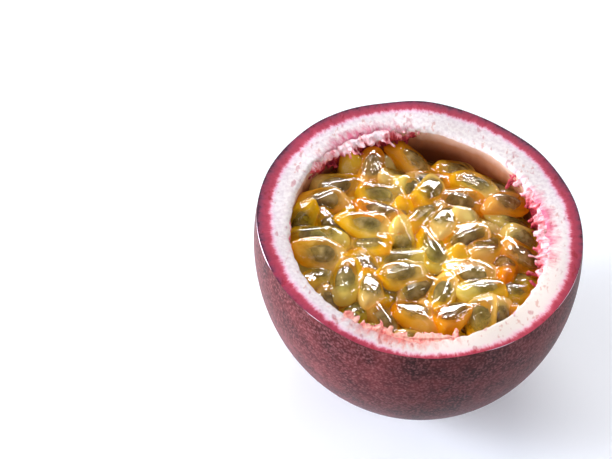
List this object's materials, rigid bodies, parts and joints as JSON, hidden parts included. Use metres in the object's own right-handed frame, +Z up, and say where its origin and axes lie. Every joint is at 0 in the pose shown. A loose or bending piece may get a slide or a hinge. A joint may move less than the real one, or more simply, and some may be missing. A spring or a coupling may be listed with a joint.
{
  "type": "passion fruit half",
  "caption": "Half a purple passion fruit, cut face up, with white pith and a cavity full of yellow seed sacs in juice.",
  "frame": {"origin": "on the floor, under the middle of the fruit's bounding box", "axes": "+Z up out of the level cut face, +Y towards the back, +X to the right as seen from the front"},
  "size_m": [0.0604, 0.061, 0.0395],
  "materials": {
    "skin": "waxy dark purple skin with fine pale specks, crimson flesh at the cut",
    "pith": "moist white pith with a few pink specks",
    "pulp": "wet yellow seed sacs in juice"
  },
  "bodies": {
    "root": {"skin": "skin", "pith": "pith", "pulp": "pulp"}
  },
  "joints": []
}
